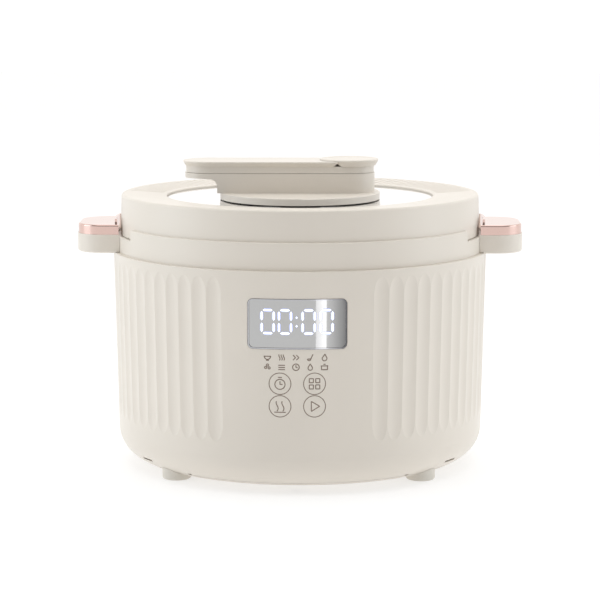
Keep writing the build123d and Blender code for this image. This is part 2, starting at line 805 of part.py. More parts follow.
# Power inlet in the rear wall: three blades in a shallow socket, flush with the wall.
inlet_face_y = 123.2
inlet_depth = 16.0
inlet_low = inlet_z - inlet_height / 2
inlet_high = inlet_z + inlet_height / 2
blade_x = 7.0
blades = [(-blade_x, inlet_z - 2), (0, inlet_z + 2), (blade_x, inlet_z - 2)]
with BuildPart() as power_inlet:
    block(0, inlet_face_y - inlet_depth / 2, inlet_width, inlet_depth, inlet_low, inlet_high)
    with BuildSketch(Plane.XZ.offset(-inlet_face_y - 1)) as socket:
        with Locations((0, inlet_z)):
            Rectangle(inlet_width - 5, inlet_height - 5)
        chamfer(socket.vertices().group_by(Axis.Z)[-1], 4.0)
    extrude(socket.sketch, amount=inlet_depth - 1.5, mode=Mode.SUBTRACT)
    for x, z in blades:
        block(x, inlet_face_y - inlet_depth, 2.1, 12, z - 2.05, z + 2.05, mode=Mode.SUBTRACT)
power_inlet.part.label = "power_inlet"
export_step(power_inlet.part, "parts/power_inlet.step")

with BuildPart() as inlet_pins:
    for x, z in blades:
        block(x, inlet_face_y - inlet_depth + 6.7, 2.0, 14, z - 2.0, z + 2.0)
inlet_pins.part.label = "inlet_pins"
export_step(inlet_pins.part, "parts/inlet_pins.step")

# Lead wires: from the outer blades down and forward to the power board.
with BuildPart() as lead_wires:
    for x in (-blade_x - 11, blade_x + 11):
        with BuildLine() as route:
            FilletPolyline(
                (x, 102.0, board_top_z + 1.2),
                (x, 109.0, board_top_z + 1.2),
                (x, 109.0, 46.0),
                radius=4,
            )
        with BuildSketch(Plane(origin=route.line @ 0, z_dir=route.line % 0)) as section:
            Circle(1.1)
        sweep(section.sketch, path=route.line)
lead_wires.part.label = "lead_wires"
export_step(lead_wires.part, "parts/lead_wires.step")

# Inner pot: a deep pan with a rounded foot and a flat rim.
with BuildPart() as inner_pot:
    with BuildSketch(Plane.XZ):
        with BuildLine():
            outer = pot_radius + pot_wall
            heel = pot_corner + pot_wall
            floor_z = pot_floor_z + pot_floor_thickness
            Line((0, pot_floor_z), (outer - heel, pot_floor_z))
            RadiusArc((outer - heel, pot_floor_z), (outer, pot_floor_z + heel), -heel)
            Polyline(
                (outer, pot_floor_z + heel),
                (outer, pot_rim_z - 1.5),
                (pot_rim_radius, pot_rim_z - 1.5),
                (pot_rim_radius, pot_rim_z),
                (pot_radius, pot_rim_z),
                (pot_radius, floor_z + pot_corner),
            )
            RadiusArc((pot_radius, floor_z + pot_corner), (pot_radius - pot_corner, floor_z), pot_corner)
            Polyline((pot_radius - pot_corner, floor_z), (0, floor_z), (0, pot_floor_z))
        make_face()
    revolve(axis=Axis.Z)
inner_pot.part.label = "inner_pot"
export_step(inner_pot.part, "parts/inner_pot.step")

# Lid shell: a deep skirt with two tabs, the flat rim with its grooves, the well and the floor under the
# panel.
post_angles = [45 + 90 * index for index in range(4)]
well_outer = well_radius + lid_sheet
skirt_inner = skirt_radius - lid_sheet
groove_span = groove_pitch * (groove_count - 1)
groove_start = 90 - groove_span / 2
bush_outer = 16.0

# What the grooves take out of the rim: short radial slots of one depth below its sloping top.
with BuildPart() as groove_cutters:
    with BuildSketch(Plane.XY.offset(well_edge_z - 2)):
        with PolarLocations(
            (groove_inner + groove_outer) / 2,
            groove_count,
            groove_start,
            groove_span,
            endpoint=True,
        ):
            SlotOverall(groove_outer - groove_inner, groove_width)
    extrude(amount=6)
    turned(
        (well_radius, well_edge_z - groove_depth),
        (lid_top_radius, lid_rim_z - groove_depth),
        (lid_top_radius, lid_rim_z + 3),
        (well_radius, lid_rim_z + 3),
        mode=Mode.INTERSECT,
    )

with BuildPart() as lid_shell:
    turned(
        (bush_outer, lid_floor_z),
        (well_outer, lid_floor_z),
        (well_outer, well_edge_z - lid_sheet),
        (lid_top_radius - lid_sheet, lid_rim_z - lid_sheet),
        (skirt_inner, collar_top_z),
        (skirt_radius, collar_top_z),
        (lid_top_radius, lid_rim_z),
        (well_radius, well_edge_z),
        (well_radius, panel_z),
        (bush_outer, panel_z),
    )
    fillet(lid_shell.edges().group_by(Axis.Z)[-1].sort_by(SortBy.RADIUS)[-1], 1.8)
    top_circles = lid_shell.edges().filter_by(GeomType.CIRCLE)
    well_rim = top_circles.filter_by_position(Axis.Z, well_edge_z - 0.1, well_edge_z + 0.1)
    fillet(well_rim.sort_by(SortBy.RADIUS)[0], 0.8)
    for side in (90, 270):
        sector(skirt_inner, skirt_radius, tab_z, collar_top_z, side, tab_half_angle)
    add(groove_cutters.part, mode=Mode.SUBTRACT)
    for angle in post_angles:
        x, y = polar(post_ring_radius, angle)
        rod(x, y, 1.5, lid_floor_z - 1, lid_floor_z + 1.6, mode=Mode.SUBTRACT)
    rod(0, float_y, 3.6, lid_floor_z - 1, panel_z + 1, mode=Mode.SUBTRACT)
lid_shell.part.label = "lid_shell"
export_step(lid_shell.part, "parts/lid_shell.step")

# Lid panel: a thin polished dish on the floor of the well.
dish_edge = well_radius - 0.4
with BuildPart() as lid_panel:
    turned(
        (panel_inner, panel_z),
        (disc_radius + 2.5, panel_z),
        (dish_edge, panel_z + panel_rise),
        (dish_edge, panel_z + panel_rise + panel_sheet),
        (disc_radius + 2.5, panel_z + panel_sheet),
        (panel_inner, panel_z + panel_sheet),
    )
lid_panel.part.label = "lid_panel"
export_step(lid_panel.part, "parts/lid_panel.step")

# Lid bush, the bearing of the handle's hub.
with BuildPart() as lid_bush:
    turned(
        (hub_radius + 0.15, lid_floor_z - 0.8),
        (hub_radius + 5.0, lid_floor_z - 0.8),
        (hub_radius + 5.0, lid_floor_z),
        (bush_outer - 0.02, lid_floor_z),
        (bush_outer - 0.02, panel_z + 0.6),
        (hub_radius + 0.15, panel_z + 0.6),
    )
lid_bush.part.label = "lid_bush"
export_step(lid_bush.part, "parts/lid_bush.step")

# Inner lid, its seal, and the four posts that hang it from the lid's floor.
inner_lid_top = inner_lid_z + inner_lid_sheet
with BuildPart() as inner_lid:
    washer(pipe_radius + 0.05, inner_lid_radius, inner_lid_z, inner_lid_top)
    rod(0, float_y, 3.2, inner_lid_z - 1, inner_lid_top + 1, mode=Mode.SUBTRACT)
    for angle in post_angles:
        x, y = polar(post_ring_radius, angle)
        rod(x, y, 1.55, inner_lid_z - 1, inner_lid_top + 1, mode=Mode.SUBTRACT)
inner_lid.part.label = "inner_lid"
export_step(inner_lid.part, "parts/inner_lid.step")

with BuildPart() as seal_ring:
    turned(
        (102.0, pot_rim_z + 0.3),
        (seal_radius - 1, pot_rim_z + 0.3),
        (seal_radius, pot_rim_z + 1.3),
        (seal_radius, inner_lid_top + 1.2),
        (103.0, inner_lid_top + 1.2),
        (103.0, inner_lid_top + 0.1),
        (inner_lid_radius + 0.1, inner_lid_top + 0.1),
        (inner_lid_radius + 0.1, inner_lid_z - 0.1),
        (101.0, inner_lid_z - 0.1),
    )
seal_ring.part.label = "seal_ring"
export_step(seal_ring.part, "parts/seal_ring.step")

with BuildPart() as lid_posts:
    for angle in post_angles:
        x, y = polar(post_ring_radius, angle)
        rod(x, y, 3.0, inner_lid_top, lid_floor_z)
        rod(x, y, 1.45, lid_floor_z, lid_floor_z + 1.4)
        rod(x, y, 1.45, inner_lid_z, inner_lid_top)
        rod(x, y, 3.0, inner_lid_z - 1.2, inner_lid_z)
lid_posts.part.label = "lid_posts"
export_step(lid_posts.part, "parts/lid_posts.step")

# Vent pipe through the lid, its nut, and the filter cap below it.
with BuildPart() as vent_pipe:
    washer(1.5, pipe_radius, inner_lid_z - 2.4, pipe_top_z)
    washer(1.5, 7.0, inner_lid_z - 2.0, inner_lid_z)
vent_pipe.part.label = "vent_pipe"
export_step(vent_pipe.part, "parts/vent_pipe.step")

with BuildPart() as vent_nut:
    with BuildSketch(Plane.XY.offset(inner_lid_top)):
        RegularPolygon(6.6, 6)
        Circle(pipe_radius + 0.05, mode=Mode.SUBTRACT)
    extrude(amount=3.4)
vent_nut.part.label = "vent_nut"
export_step(vent_nut.part, "parts/vent_nut.step")

with BuildPart() as vent_filter:
    washer(7.1, 9.0, inner_lid_z - 6.5, inner_lid_z)
    washer(0, 9.0, inner_lid_z - 7.5, inner_lid_z - 6.5)
    with BuildSketch(Plane.XY.offset(inner_lid_z - 8)):
        with PolarLocations(5.0, 6):
            SlotOverall(3.6, 1.2)
    extrude(amount=2, mode=Mode.SUBTRACT)
vent_filter.part.label = "vent_filter"
export_step(vent_filter.part, "parts/vent_filter.step")

# Float pin with its seal, the small valve that rises under pressure.
with BuildPart() as float_pin:
    rod(0, float_y, 3.0, inner_lid_z - 1.0, lid_floor_z - 0.6)
    rod(0, float_y, 4.4, inner_lid_z + 4.2, inner_lid_z + 5.2)
    rod(0, float_y, 1.6, inner_lid_z - 3.8, inner_lid_z - 1.0)
    rod(0, float_y, 4.6, inner_lid_z - 4.6, inner_lid_z - 3.8)
float_pin.part.label = "float_pin"
export_step(float_pin.part, "parts/float_pin.step")

with BuildPart() as float_seal:
    rod(0, float_y, 4.6, inner_lid_z - 3.8, inner_lid_z - 2.4)
    rod(0, float_y, 1.65, inner_lid_z - 5, inner_lid_z, mode=Mode.SUBTRACT)
float_seal.part.label = "float_seal"
export_step(float_seal.part, "parts/float_seal.step")

# Bayonet plate: it turns with the handle, and its six teeth go under those of the locking ring. It has
# a curved slot for each post and for the float pin.
slot_half = turn_angle / 2 + 5.0
post_slot_width = 7.6
float_slot_width = 10.8
bayonet_screw_radius = 10.8
bayonet_screws_at = [polar(bayonet_screw_radius, 60 + 120 * index) for index in range(3)]
with BuildPart() as bayonet_plate:
    washer(hub_bore, ring_tooth_radius - 1.0, bayonet_z, bayonet_z + bayonet_thickness)
    tooth_root = ring_tooth_radius - 1.5
    tooth_end = ring_radius - ring_wall - 1.4
    bayonet_top_z = bayonet_z + bayonet_thickness
    for index in range(tooth_count):
        sector(tooth_root, tooth_end, bayonet_z, bayonet_top_z, 60 * index + 30, tooth_angle / 2)
    turn_slots = [(post_ring_radius, post_slot_width, angle) for angle in post_angles]
    turn_slots.append((float_y, float_slot_width, 180))
    for centre, width, angle in turn_slots:
        sector(
            centre - width / 2,
            centre + width / 2,
            bayonet_z - 1,
            bayonet_top_z + 1,
            angle - turn_angle / 2,
            slot_half,
            mode=Mode.SUBTRACT,
        )
    for x, y in bayonet_screws_at:
        rod(x, y, 1.35, bayonet_z - 1, bayonet_z + 4, mode=Mode.SUBTRACT)
bayonet_plate.part.label = "bayonet_plate"
export_step(bayonet_plate.part, "parts/bayonet_plate.step")

with BuildPart() as bayonet_screws:
    for x, y in bayonet_screws_at:
        screw(x, y, 2.3, 1.3, bayonet_z - 1.5, bayonet_z, bayonet_z + 8)
bayonet_screws.part.label = "bayonet_screws"
export_step(bayonet_screws.part, "parts/bayonet_screws.step")

# Handle disc: the round base of the handle, with the hub that drives the bayonet plate.
handle_screws_at = [(x, y) for x in (-42.0, 12.0) for y in (-11.8, 11.8)]
with BuildPart() as handle_disc:
    turned(
        (hub_bore, bayonet_z + bayonet_thickness),
        (hub_radius, bayonet_z + bayonet_thickness),
        (hub_radius, disc_top_z - 2.2),
        (disc_radius - 2.2, disc_top_z - 2.2),
        (disc_radius - 2.2, disc_low_z),
        (disc_radius, disc_low_z),
        (disc_radius, disc_top_z),
        (hub_bore, disc_top_z),
    )
    fillet(handle_disc.edges().group_by(Axis.Z)[-1].sort_by(SortBy.RADIUS)[-1], 0.8)
    for x, y in bayonet_screws_at:
        rod(x, y, 1.35, bayonet_z, bayonet_z + 9, mode=Mode.SUBTRACT)
    for x, y in handle_screws_at:
        rod(x, y, 1.45, disc_low_z, disc_top_z + 1, mode=Mode.SUBTRACT)
handle_disc.part.label = "handle_disc"
export_step(handle_disc.part, "parts/handle_disc.step")

# Handle body: the hollow bar on the disc, with the overhang at the left, the lever's two posts and the
# screw bosses.
block_right_x = button_x + handle_width / 2
body_floor = 2.0
fork_slot = weight_flange_radius + 0.6
with BuildPart() as handle_body:
    stadium(handle_left_x, block_right_x, handle_width, disc_top_z, seam_z - 0.2)
    # Cut the bar away under the overhang, with a rounded inner corner.
    with BuildSketch(Plane.XZ.offset(-handle_width / 2 - 1)) as undercut:
        with BuildLine():
            Line((handle_left_x - 2, disc_top_z - 1), (block_left_x, disc_top_z - 1))
            Line((block_left_x, disc_top_z - 1), (block_left_x, overhang_z - overhang_fillet))
            RadiusArc(
                (block_left_x, overhang_z - overhang_fillet),
                (block_left_x - overhang_fillet, overhang_z),
                -overhang_fillet,
            )
            Line((block_left_x - overhang_fillet, overhang_z), (handle_left_x - 2, overhang_z))
            Line((handle_left_x - 2, overhang_z), (handle_left_x - 2, disc_top_z - 1))
        make_face()
    extrude(undercut.sketch, amount=handle_width + 2, mode=Mode.SUBTRACT)
    # The hollow of the bar, open at the top.
    with BuildSketch(Plane.XY.offset(disc_top_z + body_floor)) as hollow:
        with Locations((button_x, 0)):
            Circle(handle_width / 2 - handle_wall)
        with Locations(((block_left_x + handle_wall + button_x) / 2, 0)):
            Rectangle(button_x - block_left_x - handle_wall, handle_width - 2 * handle_wall)
    extrude(hollow.sketch, amount=20, mode=Mode.SUBTRACT)
    with BuildSketch(Plane.XY.offset(overhang_z + body_floor)) as tail:
        with Locations((handle_left_x + handle_width / 2, 0)):
            Circle(handle_width / 2 - handle_wall)
        with Locations(((handle_left_x + handle_width / 2 + block_left_x + 8) / 2, 0)):
            Rectangle(block_left_x + 8 - handle_left_x - handle_width / 2, handle_width - 2 * handle_wall)
    extrude(tail.sketch, amount=10, mode=Mode.SUBTRACT)
    for x, y in handle_screws_at:
        rod(x, y, 2.9, disc_top_z + body_floor - 0.1, disc_top_z + 9)
    for y in (-11.4, 11.4):
        block(lever_x, y, 6, 3.4, disc_top_z + body_floor - 0.1, lever_z + 1.9)
    for y in (-12.9, 12.9):
        block(lever_x, y, 6, 4.4, disc_top_z + body_floor - 0.1, lever_z - 2.5)
    rod(0, 0, fork_slot, disc_top_z - 1, disc_top_z + body_floor + 1, mode=Mode.SUBTRACT)
    for x, y in handle_screws_at:
        rod(x, y, 1.45, disc_top_z - 1, disc_top_z + 7.5, mode=Mode.SUBTRACT)
    with BuildSketch(Plane.XZ.offset(-13.2)):
        with Locations((lever_x, lever_z)):
            Circle(lever_pin_radius + 0.02)
    extrude(amount=26.4, mode=Mode.SUBTRACT)
handle_body.part.label = "handle_body"
export_step(handle_body.part, "parts/handle_body.step")

with BuildPart() as handle_screws:
    for x, y in handle_screws_at:
        screw(x, y, 2.8, 1.4, disc_top_z - 4.0, disc_top_z - 2.2, disc_top_z + 7)
handle_screws.part.label = "handle_screws"
export_step(handle_screws.part, "parts/handle_screws.step")

# Handle cover: a slightly set back band under a top plate with a flared edge, cut round for the button.
band_inset = 0.5
button_gap = 0.35
with BuildPart() as handle_cover:
    stadium(
        handle_left_x + band_inset,
        block_right_x - band_inset,
        handle_width - 2 * band_inset,
        seam_z,
        plate_z,
    )
    with BuildSketch(Plane.XY.offset(plate_z)) as plate_low:
        with Locations(((handle_left_x + block_right_x) / 2, 0)):
            SlotOverall(block_right_x - handle_left_x, handle_width)
    with BuildSketch(Plane.XY.offset(handle_top_z - 0.9)) as plate_high:
        with Locations(((handle_left_x + block_right_x) / 2, 0)):
            SlotOverall(block_right_x - handle_left_x + 2 * lip, handle_width + 2 * lip)
    loft([plate_low.sketch, plate_high.sketch])
    stadium(
        handle_left_x - lip,
        block_right_x + lip,
        handle_width + 2 * lip,
        handle_top_z - 0.9,
        handle_top_z,
    )
    fillet(handle_cover.edges().group_by(Axis.Z)[-1], 0.7)
    stadium(
        handle_left_x + band_inset + handle_wall,
        block_right_x - band_inset - handle_wall,
        handle_width - 2 * band_inset - 2 * handle_wall,
        seam_z - 1,
        handle_top_z - 2.0,
        mode=Mode.SUBTRACT,
    )
    rod(button_x, 0, button_radius + button_gap, plate_z, handle_top_z + 1, mode=Mode.SUBTRACT)
handle_cover.part.label = "handle_cover"
export_step(handle_cover.part, "parts/handle_cover.step")

# Release button: a round cap whose rim hangs down outside the bar's round end, with a plug and a stem.
cap_sheet = 1.1
button_skirt_radius = 17.6
skirt_clearance = 0.1
dish_depth = 0.4
cap_low_z = button_top_z - cap_sheet
plug_low_z = 198.9
stem_low_z = lever_z + lever_thickness / 2 + 0.6
with BuildPart() as release_button:
    with BuildSketch(Plane.XZ.move(Location((button_x, 0, 0)))) as cap_outline:
        with BuildLine():
            Polyline(
                (0, plate_z - 0.1),
                (button_skirt_radius, plate_z - 0.1),
                (button_radius, cap_low_z),
                (button_radius, button_top_z - 0.5),
                (button_radius - 0.5, button_top_z),
                (button_radius - 2.5, button_top_z),
                (button_radius - 4.0, button_top_z - dish_depth),
                (0, button_top_z - dish_depth),
                (0, plate_z - 0.1),
            )
        make_face()
    revolve(cap_outline.sketch, axis=Axis((button_x, 0, 0), (0, 0, 1)))
    stadium(
        handle_left_x,
        block_right_x - skirt_clearance,
        handle_width - 2 * skirt_clearance,
        plate_z - 1,
        cap_low_z - 0.1,
        mode=Mode.SUBTRACT,
    )
    rod(button_x, 0, 12.0, plug_low_z, cap_low_z)
    rod(button_x, 0, 2.5, stem_low_z, plug_low_z + 0.1)
release_button.part.label = "release_button"
export_step(release_button.part, "parts/release_button.step")

# Button spring, between the bar's floor and the button's plug, beyond the end of the lever.
spring_x = 41.5
with BuildPart() as button_spring:
    spring_low_z = disc_top_z + body_floor
    with BuildLine() as coil:
        Helix(
            pitch=2.6,
            height=plug_low_z - spring_low_z - 1.2,
            radius=2.6,
            center=(spring_x, 0, spring_low_z + 0.6),
        )
    with BuildSketch(Plane(origin=coil.line @ 0, z_dir=coil.line % 0)):
        Circle(0.4)
    sweep()
button_spring.part.label = "button_spring"
export_step(button_spring.part, "parts/button_spring.step")

# Valve lever on its pin: the button's stem pushes one end down and the fork lifts the weight.
with BuildPart() as lever_pin:
    with BuildSketch(Plane.XZ.offset(-13.0)):
        with Locations((lever_x, lever_z)):
            Circle(lever_pin_radius)
    extrude(amount=26.0)
lever_pin.part.label = "lever_pin"
export_step(lever_pin.part, "parts/lever_pin.step")

lever_low = lever_z - lever_thickness / 2
lever_high = lever_z + lever_thickness / 2
with BuildPart() as valve_lever:
    block(22.5, 0, 27, 10, lever_low, lever_high)
    block(10.5, 0, 3.4, 17, lever_low, lever_high)
    for side in (-1, 1):
        block(4.6, side * 7.0, 10.2, 2.8, lever_low, lever_high)
    with BuildSketch(Plane.XZ.offset(-5)) as hub:
        with Locations((lever_x, lever_z)):
            Circle(2.6)
    extrude(hub.sketch, amount=10)
    with BuildSketch(Plane.XZ.offset(-6)) as bore:
        with Locations((lever_x, lever_z)):
            Circle(lever_pin_radius + 0.05)
    extrude(bore.sketch, amount=12, mode=Mode.SUBTRACT)
valve_lever.part.label = "valve_lever"
export_step(valve_lever.part, "parts/valve_lever.step")

# Valve weight, a cap that rests on the vent pipe.
with BuildPart() as valve_weight:
    turned(
        (pipe_radius + 0.08, 184.5),
        (weight_radius + 2.0, 184.5),
        (weight_radius + 2.0, 189.5),
        (weight_radius, 190.3),
        (weight_radius, weight_flange_z),
        (weight_flange_radius, weight_flange_z),
        (weight_flange_radius, weight_flange_z + 1.2),
        (0, weight_flange_z + 1.2),
        (0, pipe_top_z + 0.05),
        (pipe_radius + 0.08, pipe_top_z + 0.05),
    )
valve_weight.part.label = "valve_weight"
export_step(valve_weight.part, "parts/valve_weight.step")
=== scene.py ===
import json
import math

import bpy
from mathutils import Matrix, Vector


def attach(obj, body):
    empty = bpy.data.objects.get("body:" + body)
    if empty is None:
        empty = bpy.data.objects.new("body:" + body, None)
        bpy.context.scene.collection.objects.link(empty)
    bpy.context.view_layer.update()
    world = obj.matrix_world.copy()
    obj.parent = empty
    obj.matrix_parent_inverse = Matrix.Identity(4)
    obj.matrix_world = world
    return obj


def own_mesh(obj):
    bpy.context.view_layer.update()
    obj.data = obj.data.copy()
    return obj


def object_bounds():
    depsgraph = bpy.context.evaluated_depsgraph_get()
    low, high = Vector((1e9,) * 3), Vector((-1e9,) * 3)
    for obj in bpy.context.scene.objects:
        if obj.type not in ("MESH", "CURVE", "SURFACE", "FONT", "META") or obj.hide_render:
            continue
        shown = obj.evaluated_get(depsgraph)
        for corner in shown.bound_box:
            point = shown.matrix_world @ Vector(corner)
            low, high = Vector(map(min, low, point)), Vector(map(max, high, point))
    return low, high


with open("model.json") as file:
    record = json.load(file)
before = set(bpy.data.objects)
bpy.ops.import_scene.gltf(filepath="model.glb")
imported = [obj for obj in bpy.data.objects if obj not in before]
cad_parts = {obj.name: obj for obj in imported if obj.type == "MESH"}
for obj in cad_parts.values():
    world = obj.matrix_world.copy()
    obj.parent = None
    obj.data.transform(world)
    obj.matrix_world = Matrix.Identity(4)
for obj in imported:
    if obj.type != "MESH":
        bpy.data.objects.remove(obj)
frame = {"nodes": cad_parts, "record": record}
cad_low, cad_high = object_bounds()
MM = 0.001


# ---------------------------------------------------------------- materials

def new_material(name):
    """A new material, its node tree and its shader."""
    material = bpy.data.materials.new(name)
    material.use_nodes = True
    tree = material.node_tree
    return material, tree, tree.nodes["Principled BSDF"]


def object_noise(tree, scale, detail=3.0, stretch=(1.0, 1.0, 1.0)):
    """Noise in the object's own coordinates; scale counts waves in a metre."""
    place = tree.nodes.new("ShaderNodeTexCoord")
    mapping = tree.nodes.new("ShaderNodeMapping")
    mapping.inputs["Scale"].default_value = stretch
    noise = tree.nodes.new("ShaderNodeTexNoise")
    noise.inputs["Scale"].default_value = scale
    noise.inputs["Detail"].default_value = detail
    tree.links.new(place.outputs["Object"], mapping.inputs["Vector"])
    tree.links.new(mapping.outputs["Vector"], noise.inputs["Vector"])
    return noise.outputs["Fac"]


NOISE_LOW, NOISE_HIGH = 0.3, 0.7


def spread(tree, factor, low, high):
    """Maps the range in which nearly all noise values lie onto low to high."""
    ranged = tree.nodes.new("ShaderNodeMapRange")
    ranged.inputs["From Min"].default_value = NOISE_LOW
    ranged.inputs["From Max"].default_value = NOISE_HIGH
    ranged.inputs["To Min"].default_value = low
    ranged.inputs["To Max"].default_value = high
    tree.links.new(factor, ranged.inputs["Value"])
    return ranged.outputs["Result"]


# The Mix node's colour sockets, which share their names with its other sockets.
MIX_FACTOR, MIX_FIRST, MIX_SECOND, MIX_RESULT = 0, 6, 7, 2


def blend_colours(tree, factor, first, second):
    """Mixes two colours by a factor, where 0 shows the first."""
    mix = tree.nodes.new("ShaderNodeMix")
    mix.data_type = "RGBA"
    mix.inputs[MIX_FIRST].default_value = (*first, 1.0)
    mix.inputs[MIX_SECOND].default_value = (*second, 1.0)
    tree.links.new(factor, mix.inputs[MIX_FACTOR])
    return mix.outputs[MIX_RESULT]


def add_bump(tree, shader, height, strength, distance):
    """Raises the surface by a height value, distance in metres."""
    bump = tree.nodes.new("ShaderNodeBump")
    bump.inputs["Strength"].default_value = strength
    bump.inputs["Distance"].default_value = distance
    tree.links.new(height, bump.inputs["Height"])
    tree.links.new(bump.outputs["Normal"], shader.inputs["Normal"])


def moulded(name, colour, shade=0.97, roughness=(0.30, 0.38), grain=2600.0, depth=0.00002):
    """Moulded plastic or rubber: a faint drift of colour, a fine grain and an uneven gloss."""
    material, tree, shader = new_material(name)
    darker = tuple(channel * shade for channel in colour)
    drift = spread(tree, object_noise(tree, 14.0), 0.0, 1.0)
    tree.links.new(blend_colours(tree, drift, darker, colour), shader.inputs["Base Color"])
    tree.links.new(spread(tree, object_noise(tree, 60.0), *roughness), shader.inputs["Roughness"])
    add_bump(tree, shader, object_noise(tree, grain, detail=2.0), strength=0.35, distance=depth)
    return material


def metal(name, colour, roughness=(0.20, 0.30), brushing=(1.0, 1.0, 1.0), grain=900.0,
          depth=0.00001, shade=0.9):
    """Metal with brushing or a fine grain; brushing stretches the marks across an axis."""
    material, tree, shader = new_material(name)
    shader.inputs["Metallic"].default_value = 1.0
    marks = object_noise(tree, grain, detail=4.0, stretch=brushing)
    darker = tuple(channel * shade for channel in colour)
    tint = blend_colours(tree, spread(tree, marks, 0.0, 1.0), darker, colour)
    tree.links.new(tint, shader.inputs["Base Color"])
    tree.links.new(spread(tree, marks, *roughness), shader.inputs["Roughness"])
    add_bump(tree, shader, marks, strength=0.25, distance=depth)
    return material


# A fleck is solid within the first distance from its cell's middle and gone beyond the second.
FLECK_SOLID, FLECK_GONE = 0.10, 0.18


def speckled(name, colour, fleck, scale=1500.0, roughness=(0.35, 0.5)):
    """A coating with small light flecks."""
    material, tree, shader = new_material(name)
    place = tree.nodes.new("ShaderNodeTexCoord")
    cells = tree.nodes.new("ShaderNodeTexVoronoi")
    cells.inputs["Scale"].default_value = scale
    tree.links.new(place.outputs["Object"], cells.inputs["Vector"])
    ranged = tree.nodes.new("ShaderNodeMapRange")
    ranged.inputs["From Min"].default_value = FLECK_SOLID
    ranged.inputs["From Max"].default_value = FLECK_GONE
    ranged.inputs["To Min"].default_value = 1.0
    ranged.inputs["To Max"].default_value = 0.0
    tree.links.new(cells.outputs["Distance"], ranged.inputs["Value"])
    tint = blend_colours(tree, ranged.outputs["Result"], colour, fleck)
    tree.links.new(tint, shader.inputs["Base Color"])
    tree.links.new(spread(tree, object_noise(tree, 300.0), *roughness), shader.inputs["Roughness"])
    add_bump(tree, shader, object_noise(tree, 1800.0), strength=0.3, distance=0.00002)
    return material


def circuit_board(name):
    """Green laminate with lighter copper tracks under it."""
    material, tree, shader = new_material(name)
    place = tree.nodes.new("ShaderNodeTexCoord")
    tracks = tree.nodes.new("ShaderNodeTexBrick")
    tracks.inputs["Scale"].default_value = 160.0
    tracks.inputs["Mortar Size"].default_value = 0.04
    tracks.inputs["Color1"].default_value = (0.010, 0.085, 0.035, 1.0)
    tracks.inputs["Color2"].default_value = (0.014, 0.110, 0.045, 1.0)
    tracks.inputs["Mortar"].default_value = (0.05, 0.22, 0.10, 1.0)
    tree.links.new(place.outputs["Object"], tracks.inputs["Vector"])
    tree.links.new(tracks.outputs["Color"], shader.inputs["Base Color"])
    tree.links.new(spread(tree, object_noise(tree, 200.0), 0.3, 0.45), shader.inputs["Roughness"])
    add_bump(tree, shader, tracks.outputs["Fac"], strength=0.3, distance=0.00005)
    return material


def glowing(name, colour, strength):
    """A lit segment, a little uneven from one end to the other."""
    material, tree, shader = new_material(name)
    drift = spread(tree, object_noise(tree, 120.0), 0.0, 1.0)
    dimmer = tuple(channel * 0.97 for channel in colour)
    tinted = blend_colours(tree, drift, dimmer, colour)
    tree.links.new(tinted, shader.inputs["Emission Color"])
    tree.links.new(tinted, shader.inputs["Base Color"])
    shader.inputs["Emission Strength"].default_value = strength
    return material


CREAM = (0.795, 0.738, 0.660)
MATERIALS = {
    "cream_plastic": moulded("cream_plastic", CREAM, roughness=(0.30, 0.36)),
    "soft_pad": moulded("soft_pad", (0.74, 0.70, 0.63), roughness=(0.5, 0.6)),
    "steel_screw": metal("steel_screw", (0.60, 0.60, 0.60)),
    "spring_steel": metal("spring_steel", (0.52, 0.52, 0.53)),
    "silicone": moulded("silicone", (0.80, 0.80, 0.77), roughness=(0.42, 0.52)),
    "steel_sheet": metal("steel_sheet", (0.66, 0.66, 0.66), (0.26, 0.32), (1.0, 1.0, 0.04), grain=2600.0,
                         depth=0.0000015, shade=0.96),
    "rose_gold": metal("rose_gold", (0.73, 0.53, 0.475), (0.04, 0.07), shade=0.97, depth=0.000002),
    "bezel_chrome": metal("bezel_chrome", (0.50, 0.50, 0.52), (0.10, 0.16)),
    "mirror_lens": metal("mirror_lens", (0.475, 0.475, 0.475), (0.03, 0.05), shade=0.98, depth=0.000001),
    "circuit_board": circuit_board("circuit_board"),
    "led_white": moulded("led_white", (0.85, 0.88, 0.92), roughness=(0.3, 0.4)),
    "copper": metal("copper", (0.80, 0.45, 0.28)),
    "ribbon": moulded("ribbon", (0.55, 0.55, 0.58), roughness=(0.4, 0.5)),
    "cast_aluminium": metal("cast_aluminium", (0.72, 0.72, 0.72), (0.30, 0.42), grain=1600.0),
    "heater_steel": metal("heater_steel", (0.36, 0.33, 0.31), (0.35, 0.5), shade=0.75),
    "dark_plastic": moulded("dark_plastic", (0.045, 0.045, 0.05), shade=0.85, roughness=(0.45, 0.55)),
    "sensor_aluminium": metal("sensor_aluminium", (0.78, 0.78, 0.78), (0.18, 0.26)),
    "fuse_metal": metal("fuse_metal", (0.62, 0.60, 0.55)),
    "pot_coating": speckled("pot_coating", (0.045, 0.042, 0.042), (0.28, 0.27, 0.26)),
    "mirror_steel": metal("mirror_steel", (0.93, 0.93, 0.93), (0.05, 0.08), (0.1, 1.0, 1.0), shade=0.98,
                          depth=0.000001),
    "valve_steel": metal("valve_steel", (0.68, 0.68, 0.68), (0.16, 0.24)),
}

for part in frame["record"]["subparts"]:
    node = frame["nodes"][part["node"]]
    node.data.materials.clear()
    node.data.materials.append(MATERIALS[part["material_slot"]])


# ---------------------------------------------------------------- springs

def compress_springs():
    """Gives each spring that a joint presses a mesh of its own."""
    for joint in frame["record"]["behaviour"]["joints"]:
        for spring in joint.get("deforming_nodes", []):
            coil = frame["nodes"][spring["node"]]
            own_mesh(coil)


compress_springs()


# ---------------------------------------------------------------- prints and lit segments

